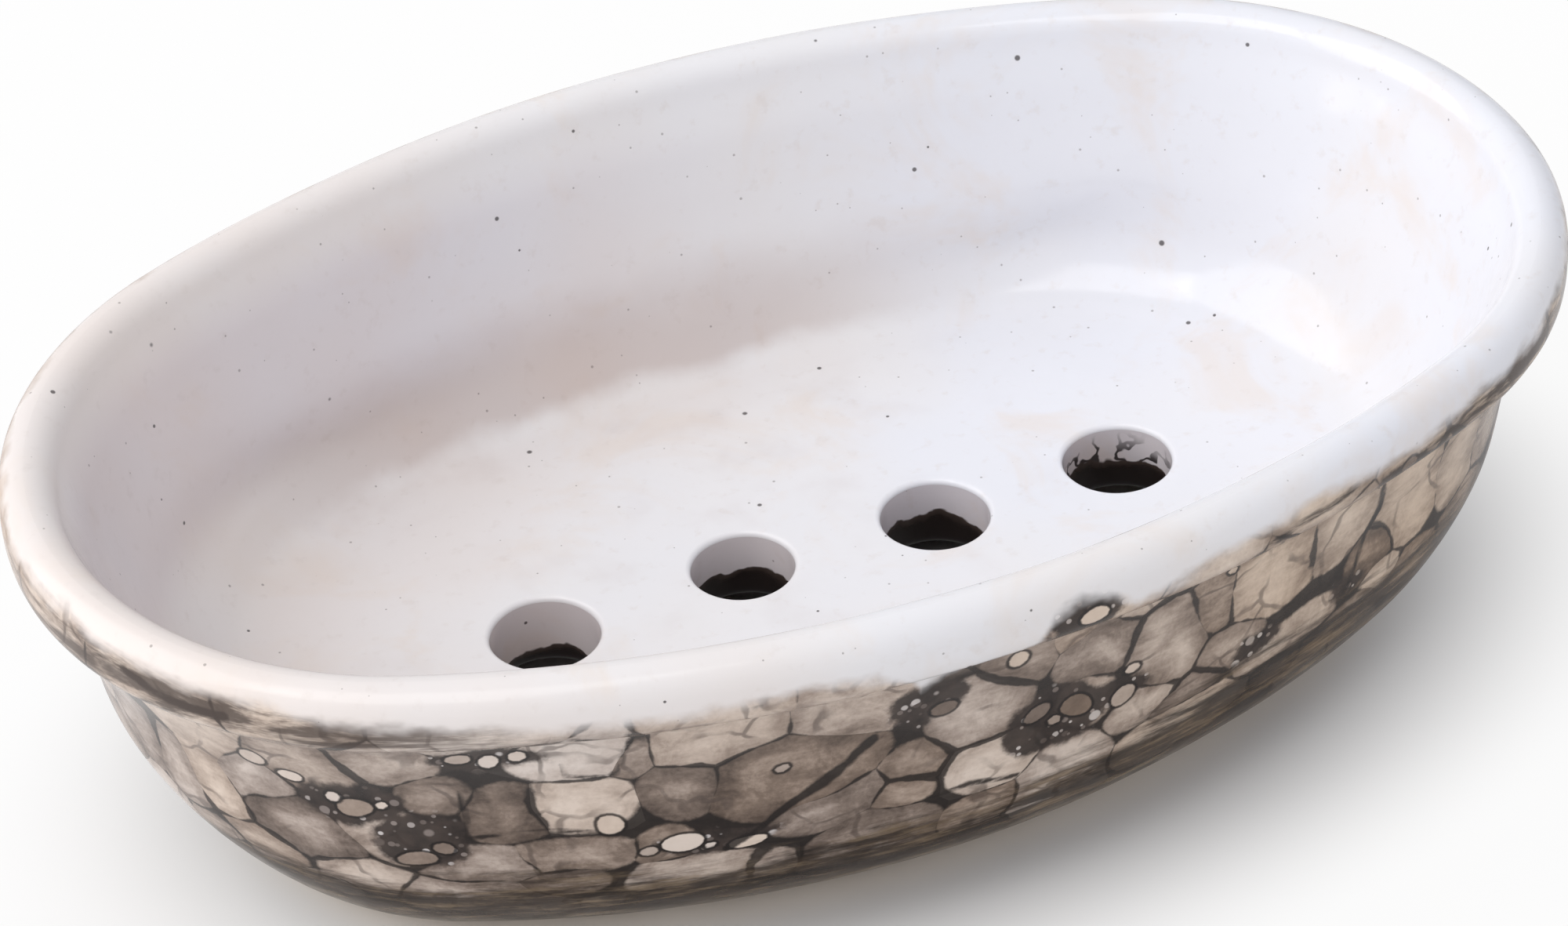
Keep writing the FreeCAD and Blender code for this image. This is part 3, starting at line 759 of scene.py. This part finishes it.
def bubble_material():
    """Bubble glaze outside: prints with dark films between them, and what lies over them up to the lip."""
    n = Nodes("bubble_glaze")
    rise = n.attribute("rise", "Fac")
    frayed = n.centred(n.noise(0.9, 3.0, 0.6), 0.4)
    cloud = n.centred(n.noise(4.2, 5.0, 0.62, warp=0.8), 1.0)
    brushed = n.centred(n.noise(1.5, 4.0, 0.6, stretch=(0.3, 0.3, 1.3)), 0.45)
    grain = n.centred(n.noise(0.45, 2.0, 0.6), 0.3)
    washes = n.math("ADD", n.math("ADD", cloud, brushed), grain)
    # Large prints: the nearest and the next nearest give the film between them.
    best = n.attribute("cell_0")
    first, second = n.split(best)[0], FAR
    for level in range(1, CHANNELS):
        rival = n.attribute(f"cell_{level}")
        edge = n.split(rival)[0]
        best = n.mix(n.math("LESS_THAN", edge, first), best, rival)
        second = n.math("MINIMUM", second, n.math("MAXIMUM", first, edge))
        first = n.math("MINIMUM", first, edge)
    tone, warmth = n.split(best)[1:]
    film = n.math("ADD", n.math("MULTIPLY", n.math("SUBTRACT", second, first), 0.5), frayed)
    pooled = n.fade(film, 2.2, 0.2, 0.0, 0.17)
    wash = n.math("ADD", n.math("MULTIPLY_ADD", washes, 0.75, tone), n.math("ADD", pooled, 0.015))
    colour = washed(n, wash, warmth)
    # Faint broken rings left by other bubbles.
    swirled = n.add("TexNoise", {"Vector": n.place, "Scale": 0.2, "Detail": 2.0}).outputs["Color"]
    swirled = n.vector("ADD", n.place, n.vector("SCALE", swirled, scale=5.0))
    ghost = n.add("TexVoronoi", {"Vector": swirled, "Scale": 0.15}, feature="DISTANCE_TO_EDGE")
    ghost = n.fade(ghost.outputs["Distance"], 0.05, 0.015)
    ghost = n.math("MULTIPLY", ghost, n.fade(n.noise(5.0, 2.0), 0.42, 0.6, 0.0, 0.6))
    colour = n.mix(ghost, colour, rgb(82, 70, 64))
    # Dark films, and gaps between prints: narrower to the right, and none on the lip.
    spread = n.math("MULTIPLY_ADD", n.noise(6.0, 2.0), 1.6, -0.86)
    line = n.fade(n.math("SUBTRACT", film, spread), 0.26, 0.05, 0.0, 0.9)
    bare = n.math("SUBTRACT", n.math("ADD", first, frayed), n.fade(n.length, -5.0, 25.0, 0.0, 0.45))
    gap = n.math("MULTIPLY", n.fade(bare, -0.22, 0.22, 0.0, 0.95), n.fade(rise, 1.0, 0.93))
    colour = n.mix(n.math("MAXIMUM", line, gap), colour, INK)
    # Dark foam, small prints and strokes over them.
    foam = n.ramp(n.noise(1.8, 4.0, 0.6), [(0.3, rgb(36, 29, 27)), (0.7, rgb(66, 55, 50))])
    for cell, radius, rarity in ((0.95, 0.4, 0.3), (1.7, 0.66, 0.45)):
        shows, shade = bubbles(n, cell, radius, rarity)
        foam = n.mix(n.math("MULTIPLY", shows, 0.85), foam, shade)
    patchy = n.centred(n.noise(2.6, 4.0, 0.6), 3.0)
    foamy = n.fade(n.math("ADD", n.attribute("foam", "Fac"), patchy), 0.5, -0.4, 0.0, 0.96)
    colour = n.mix(foamy, colour, foam)
    for level in range(DOT_CHANNELS):
        edge, tone, warmth = n.split(n.attribute(f"dot_{level}"))
        edge = n.math("ADD", edge, n.math("MULTIPLY", frayed, 0.4))
        colour = n.mix(n.fade(edge, 0.34, 0.1, 0.0, 0.9), colour, INK)
        print_colour = washed(n, n.math("MULTIPLY_ADD", washes, 0.3, tone), warmth)
        colour = n.mix(n.fade(edge, 0.02, -0.16), colour, print_colour)
    smear = n.noise(2.6, 5.0, 0.65, stretch=(0.16, 0.16, 1.0), warp=0.4)
    streaky = n.math("MAXIMUM", n.fade(rise, 1.03, 0.98), n.fade(smear, 0.4, 0.58))
    stroke = n.fade(n.math("ADD", n.attribute("stroke", "Fac"), frayed), 0.12, -0.2, 0.0, 0.92)
    colour = n.mix(n.math("MULTIPLY", stroke, streaky), colour, INK)
    # Painted reflection of a dark wooden table, streaked, towards the foot, and smears under the lip at the
    # ends.
    streak = n.noise(2.0, 5.0, 0.68, stretch=(0.16, 0.16, 1.0))
    lowered = n.math("SUBTRACT", rise, n.fade(n.length, -5.0, 35.0, 0.0, 0.19))
    low = n.fade(n.math("MULTIPLY_ADD", streak, -0.55, lowered), 0.21, 0.05, 0.0, 0.92)
    stops = [(0.36, rgb(28, 22, 19)), (0.5, rgb(58, 47, 38)), (0.66, rgb(124, 107, 86))]
    table_reflection = n.ramp(n.noise(1.5, 5.0, 0.68, stretch=(0.2, 0.2, 1.0)), stops)
    colour = n.mix(low, colour, table_reflection)
    under_lip = n.math("MULTIPLY", n.fade(rise, 0.93, 1.05), n.fade(smear, 0.42, 0.58, 0.0, 0.88))
    ends = n.fade(n.math("ABSOLUTE", n.length), 26.0, 50.0)
    colour = n.mix(n.math("MULTIPLY", under_lip, ends), colour, rgb(70, 58, 52))
    # Warmer towards the right-hand end.
    colour = n.mix(n.fade(n.length, -30.0, 60.0, 0.0, 0.6), colour, rgb(255, 242, 218), blend="MULTIPLY")
    # Painted reflection of a tan wooden table on the lip's outer edge at the back.
    table_edge_reflection = n.math("MULTIPLY", n.fade(rise, 1.02, 1.1), n.fade(n.width, -12.0, 14.0, 0.0, 0.6))
    colour = n.mix(table_edge_reflection, colour, rgb(176, 138, 98))
    # White glaze of the lip, with a ragged edge.
    ragged = n.centred(n.noise(3.0, 3.0, 0.55, stretch=(0.6, 0.6, 1.0)), 3.0)
    white = n.fade(n.math("ADD", n.attribute("above", "Fac"), ragged), -0.9, 0.9)
    colour = n.mix(white, colour, white_surface(n))
    rough = n.fade(n.noise(2.0, 3.0), 0.3, 0.7, 0.1, 0.2)
    relief = n.math("ADD", white_waves(n), n.math("MULTIPLY", white, 0.5))
    return n.finish(colour, rough, relief, 0.16, n.fade(rise, 0.35, 0.95, 0.02, 0.34))


# ---------- the other glazes and the clay

def drain_material(number, creep, branches):
    """White above, dark glaze risen from below to a ragged height, with thin branches on one."""
    n = Nodes(f"drain_glaze_{number}")
    ragged = n.centred(n.noise(3.6, 3.0, 0.5), 3.0)
    above = n.math("SUBTRACT", n.math("ADD", n.height, ragged), creep)
    dark = n.mix(n.fade(above, -0.9, 0.3, 0.0, 0.4), rgb(34, 26, 24), rgb(110, 94, 86))
    # The white is dimmed and warmed a little: painted shade inside the hole.
    pale = n.mix(1.0, white_surface(n), rgb(238, 231, 230), blend="MULTIPLY")
    ridge = n.math("ABSOLUTE", n.math("SUBTRACT", n.noise(2.5, 2.0, 0.5), 0.5))
    branch = n.math("MULTIPLY", n.fade(ridge, 0.05, 0.022), n.fade(above, 3.0, 0.6, 0.0, branches))
    colour = n.mix(n.fade(above, -0.1, 0.12), dark, n.mix(branch, pale, rgb(38, 30, 30)))
    return n.finish(colour, n.fade(above, -0.2, 0.2, 0.2, 0.14), white_waves(n), 0.1)


def dark_material():
    """Dark glaze under the floor: brown pools and pale specks."""
    n = Nodes("dark_glaze")
    pools = n.noise(7.0, 4.0, 0.6, warp=0.5)
    colour = n.ramp(pools, [(0.3, rgb(24, 19, 17)), (0.52, rgb(48, 38, 33)), (0.7, rgb(86, 70, 57))])
    colour = n.mix(specks(n, 2.2, 0.3, 0.4), colour, rgb(126, 110, 94))
    return n.finish(colour, n.fade(pools, 0.3, 0.7, 0.16, 0.34), n.noise(3.0, 3.0), 0.14)


def clay_material():
    """Bare pale clay: rough, with grog and iron specks in it."""
    n = Nodes("stoneware")
    body = n.ramp(n.noise(9.0, 4.0, 0.6), [(0.3, rgb(196, 178, 154)), (0.7, rgb(216, 201, 180))])
    grog = n.noise(0.5, 2.0, 0.7)
    colour = n.mix(n.fade(grog, 0.55, 0.72, 0.0, 0.5), body, rgb(168, 146, 120))
    colour = n.mix(specks(n, 1.5, 0.2, 0.5), colour, rgb(92, 70, 52))
    relief = n.math("ADD", grog, n.noise(1.6, 3.0))
    return n.finish(colour, n.fade(grog, 0.3, 0.7, 0.78, 0.92), relief, 0.08)


# ---------- pieces

white_glaze = white_material()
bubble_glaze = bubble_material()
dark_glaze = dark_material()
stoneware = clay_material()
for node in ("wall_band", "floor_slab"):
    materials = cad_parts[node].data.materials
    materials.clear()
    materials.append(stoneware)

# One section from the glaze's lower edge up the outside, over the rim and down to the floor.
outside = through(OUTSIDE)
glazed = outside[outside[:, 3] >= HEEL]
lower_edge = inward(glazed[:1], GLAZE)
glazed = glazed[glazed[:, 3] < NECK - NECK_CUT]
wall_length = lengths(np.vstack([glazed, [OUTSIDE[-1]]]))[-1]
face_top = HEIGHT - RIM_ROUND
outer = np.vstack([
    lower_edge,
    glazed,
    bend(LIP_ROUND, LIP_UNDERSIDE + LIP_ROUND, LIP_ROUND, LIP_START, 0),
    bend(RIM_ROUND, face_top, RIM_ROUND, 0, 90),
])
inner = np.vstack([bend(RIM_ROUND, face_top, RIM_ROUND, 90, 180)[1:], through(INSIDE), [FLOOR_EDGE]])
section = spaced(np.vstack([outer, inner]), FINE)
along = lengths(section)
crease_gap = abs(along[-1] - along - lengths(np.array([INSIDE[-1], FLOOR_EDGE]))[-1])
near_crease = np.clip(CREASE_FULL - crease_gap / CREASE_REACH, 0, 1)[:, None]
section = soften(section, EDGE_SOFT) * (1 - near_crease) + soften(section, CREASE_SOFT) * near_crease
crown = int(np.argmax(section[:, 3]))

# One ring close to the crown on each side keeps the shading even where the two coats meet.
outer_section = np.insert(spaced(section[:crown + 1], OUTER_STEP), -1, section[crown - 1], axis=0)
white_section = np.insert(spaced(section[crown:], WHITE_STEP), 1, section[crown + 1], axis=0)

# Outer coat, with the pattern's fields at its points.
outer_grid = dented(rings(outer_section, OUTER_COLUMNS), -1)
rises = (lengths(outer_section) - GLAZE) / wall_length
pattern = Pattern(outer_grid, rises)
for place in PRINTS:
    pattern.add_cell(*place)
pattern.fill()
for place in SMALL_PRINTS:
    pattern.add_dot(*place)
back_foam = [[random.uniform(*limits) for limits in BACK_FOAM_LIMITS] for _ in range(BACK_FOAM)]
runs = (np.arange(OUTER_COLUMNS) / OUTER_COLUMNS + 0.5) % 1.0 - 0.5
white_edge = np.interp(runs, *np.array(WHITE_EDGE).T)
fields = {
    "stroke": pattern.strokes(),
    "foam": pattern.foam([*FOAM, *back_foam]),
    "above": (rises[:, None] - white_edge) * wall_length,
    "rise": np.broadcast_to(rises[:, None], outer_grid.shape[:2]),
}
for level, values in enumerate(pattern.channels(pattern.cells, CHANNELS)):
    fields[f"cell_{level}"] = values
for level, values in enumerate(pattern.channels(pattern.dots, DOT_CHANNELS)):
    fields[f"dot_{level}"] = values
fine_rows = np.flatnonzero(rises > BACK_FINE).tolist()
back_rows = sorted({*range(0, len(rises), BACK_EVERY), *fine_rows, len(rises) - 1}, reverse=True)
back = (outer_grid - normals(outer_grid) * COAT)[back_rows]
fields = {label: np.concatenate([values, values[back_rows]]) for label, values in fields.items()}
points, faces = solid_of_rings(np.concatenate([outer_grid, back]))
make_piece("outer_coat", points, faces, bubble_glaze, "bubble_glaze", ["bubble_glaze"], fields)

# White coat: rim, wall and floor in one sheet, rounded over into each drain hole.
turns = np.arange(HOLE_COLUMNS) / HOLE_COLUMNS * 2 * math.pi
around = np.column_stack([np.cos(turns), np.sin(turns)])


def hole_ring(centre, reach, height):
    """Points round a drain hole at a height."""
    return level_points(centre + around * reach[:, None], height)


white_grid = dented(rings(white_section, WHITE_COLUMNS), 0)
sheet = Sheet()
sheet.add_rings(white_grid, -1)
hole_edges = []
for centre, radius in DRAINS:
    uneven = [noise.noise(Vector((*(centre / HOLE_APART + p * HOLE_LOBES), 0))) for p in around]
    reach = radius * (1 + HOLE_SLACK + HOLE_UNEVEN * np.array(uneven))
    hole = []
    for angle in HOLE_ANGLES:
        out, drop = HOLE_ROUND * (1 - math.cos(angle)), HOLE_ROUND * (1 - math.sin(angle))
        hole.append(hole_ring(centre, reach + out, FLOOR - drop))
    hole = np.array(hole)
    hole[..., 2] -= dents(hole[:1])
    sheet.add_rings(hole, 0)
    hole_edges.append((centre, reach, hole[-1]))
flat = lattice(white_grid[-1, :, :2], [(centre, radius + HOLE_ROUND) for centre, radius in DRAINS])
flat = level_points(flat, FLOOR)
flat[:, 2] -= dents(flat)
sheet.add_flat(flat)
make_piece("white_coat", *sheet.thickened(COAT), white_glaze, "white_glaze", ["liner_glaze"])

# Drain sleeves, rounded out over the underside.
sleeve_top = FLOOR - HOLE_ROUND
for number, ((centre, reach, top), (creep, branches)) in enumerate(zip(hole_edges, CREEP), start=1):
    sleeve = []
    for height in np.linspace(sleeve_top, UNDERSIDE + UNDER_ROUND, SLEEVE_RINGS):
        fall = (sleeve_top - height) / (sleeve_top - UNDERSIDE)
        ring = hole_ring(centre, reach, height)
        ring[:, 2] += (top[:, 2] - sleeve_top) * (1 - fall)
        sleeve.append(ring)
    for angle in UNDER_ANGLES:
        out, lift = UNDER_ROUND * (1 - math.cos(angle)), UNDER_ROUND * (1 - math.sin(angle))
        sleeve.append(hole_ring(centre, reach + out, UNDERSIDE + lift))
    sleeve = np.array(sleeve)
    back = sleeve - normals(sleeve) * COAT
    points, faces = solid_of_rings(np.concatenate([sleeve, back[::-1]]))
    glaze = drain_material(number, creep, branches)
    make_piece(f"drain_sleeve_{number}", points, faces, glaze, "drain_glaze", [f"drain_glaze_{number}"])

# Dark coat under the floor, turned down a little where it meets the foot.
recess_runs = np.arange(RECESS_COLUMNS) / RECESS_COLUMNS
edge = []
for inset, drop in UNDER_EDGE:
    outline = oval(RECESS_LENGTH - SEAT - inset, RECESS_WIDTH - SEAT - inset, FLOOR_BOW, recess_runs)
    edge.append(level_points(outline, UNDERSIDE - drop))
edge = np.array(edge)
sheet = Sheet(down=True)
sheet.add_rings(edge, -1)
for centre, reach, _ in hole_edges:
    sheet.add_rings(hole_ring(centre, reach + UNDER_ROUND, UNDERSIDE)[None], 0)
flat = lattice(edge[-1, :, :2], [(centre, radius + UNDER_ROUND) for centre, radius in DRAINS])
sheet.add_flat(level_points(flat, UNDERSIDE))
make_piece("underside_coat", *sheet.thickened(COAT), dark_glaze, "dark_glaze", ["underside_glaze"])

# Bare clay foot: outer face, rounded edges, flat sole and the recess wall.
foot_outer = inward(outside[outside[:, 3] <= HEEL + FOOT_RISE], GLAZE)
recess_end, recess_side = HALF_LENGTH - RECESS_LENGTH, HALF_WIDTH - RECESS_WIDTH
foot = np.vstack([
    [(recess_end, recess_side, FLOOR_BOW, FOOT_TOP - SEAT)],
    [(recess_end, recess_side, FLOOR_BOW, 0.0)],
    foot_outer,
    inward(foot_outer[-1:], FOOT_TUCK),
])
foot = soften(spaced(foot, FINE), FOOT_SOFT)
foot[:, 3] = np.clip(foot[:, 3], 0, FOOT_TOP)
points, faces = solid_of_rings(rings(spaced(foot, FOOT_STEP), FOOT_COLUMNS))
make_piece("foot", points, faces, stoneware, "stoneware", ["foot_ring"])

# ---------- camera, floor and light

AZIMUTH, ELEVATION, ROLL = (math.radians(angle) for angle in (-21.229, 37.013, -3.724))
DISTANCE = 441.93
TARGET = Vector((-2.0, 0.0, 23.483))
LENS = 120.79
SENSOR = 36.0
# In metres: where the lamps point, and half the floor's width.
LAMP_TARGET = Vector((0, 0, 0.02))
GROUND = 3.0

level = math.cos(ELEVATION)
back = Vector((math.sin(AZIMUTH) * level, -math.cos(AZIMUTH) * level, math.sin(ELEVATION)))
right = (-back).cross(Vector((0, 0, 1))).normalized()
up = right.cross(-back)
turned = right * math.cos(ROLL) + up * math.sin(ROLL)
lifted = up * math.cos(ROLL) - right * math.sin(ROLL)
aim = Matrix((turned, lifted, back)).transposed().to_4x4()
camera = bpy.data.objects.new("camera", bpy.data.cameras.new("camera"))
camera.data.sensor_width = SENSOR
camera.data.lens = LENS
camera.data.clip_start, camera.data.clip_end = 0.01, 20.0
camera.matrix_world = Matrix.Translation((TARGET + back * DISTANCE) * MM) @ aim
bpy.context.scene.collection.objects.link(camera)
bpy.context.scene.camera = camera


def lamp(name, place, size, power, colour):
    """Square soft light aimed at the dish."""
    light = bpy.data.objects.new(name, bpy.data.lights.new(name, "AREA"))
    light.data.size = size
    light.data.energy = power
    light.data.color = colour
    light.location = place
    light.rotation_mode = "QUATERNION"
    light.rotation_quaternion = (LAMP_TARGET - Vector(place)).to_track_quat("-Z", "Y")
    bpy.context.scene.collection.objects.link(light)


lamp("key", (-0.885, 0.32, 0.66), 1.2, 7.3, (1.0, 0.985, 0.97))
lamp("front", (-0.44, -0.37, 1.0), 0.8, 4.2, (1.0, 0.99, 0.98))

world = bpy.data.worlds.new("studio")
world.use_nodes = True
sky = world.node_tree.nodes["Background"].inputs
sky["Color"].default_value = (0.95, 0.96, 1.0, 1.0)
sky["Strength"].default_value = 0.63
bpy.context.scene.world = world

# Pale floor, white to the camera clear of the dish, and open from below.
corners = [(-GROUND, -GROUND, 0), (GROUND, -GROUND, 0), (GROUND, GROUND, 0), (-GROUND, GROUND, 0)]
ground = bpy.data.meshes.new("ground")
ground.from_pydata(corners, [], [(0, 1, 2, 3)])
n = Nodes("ground")
pale = n.ramp(n.noise(60.0, 3.0), [(0.3, rgb(238, 237, 236)), (0.7, rgb(242, 241, 240))])
surface = n.add("BsdfDiffuse", {"Color": pale})
glow = n.add("Emission", {"Color": (1, 1, 1, 1), "Strength": 1.0})
to_camera = n.math("MULTIPLY", n.add("LightPath").outputs["Is Camera Ray"], 0.9)
reach = n.vector("LENGTH", n.vector("MULTIPLY", n.place, (1 / HALF_LENGTH, 1 / HALF_WIDTH, 0.0)))
glowing = n.math("MULTIPLY", to_camera, n.fade(reach, 0.7, 1.2))
above = n.add("MixShader", {0: glowing, 1: surface.outputs[0], 2: glow.outputs[0]})
below = n.add("BsdfTransparent")
from_below = n.add("NewGeometry").outputs["Backfacing"]
both = n.add("MixShader", {0: from_below, 1: above.outputs[0], 2: below.outputs[0]})
n.add("OutputMaterial", {"Surface": both.outputs[0]})
ground.materials.append(n.material)
floor = bpy.data.objects.new("ground", ground)
bpy.context.scene.collection.objects.link(floor)

bpy.context.scene.view_settings.view_transform = "Standard"
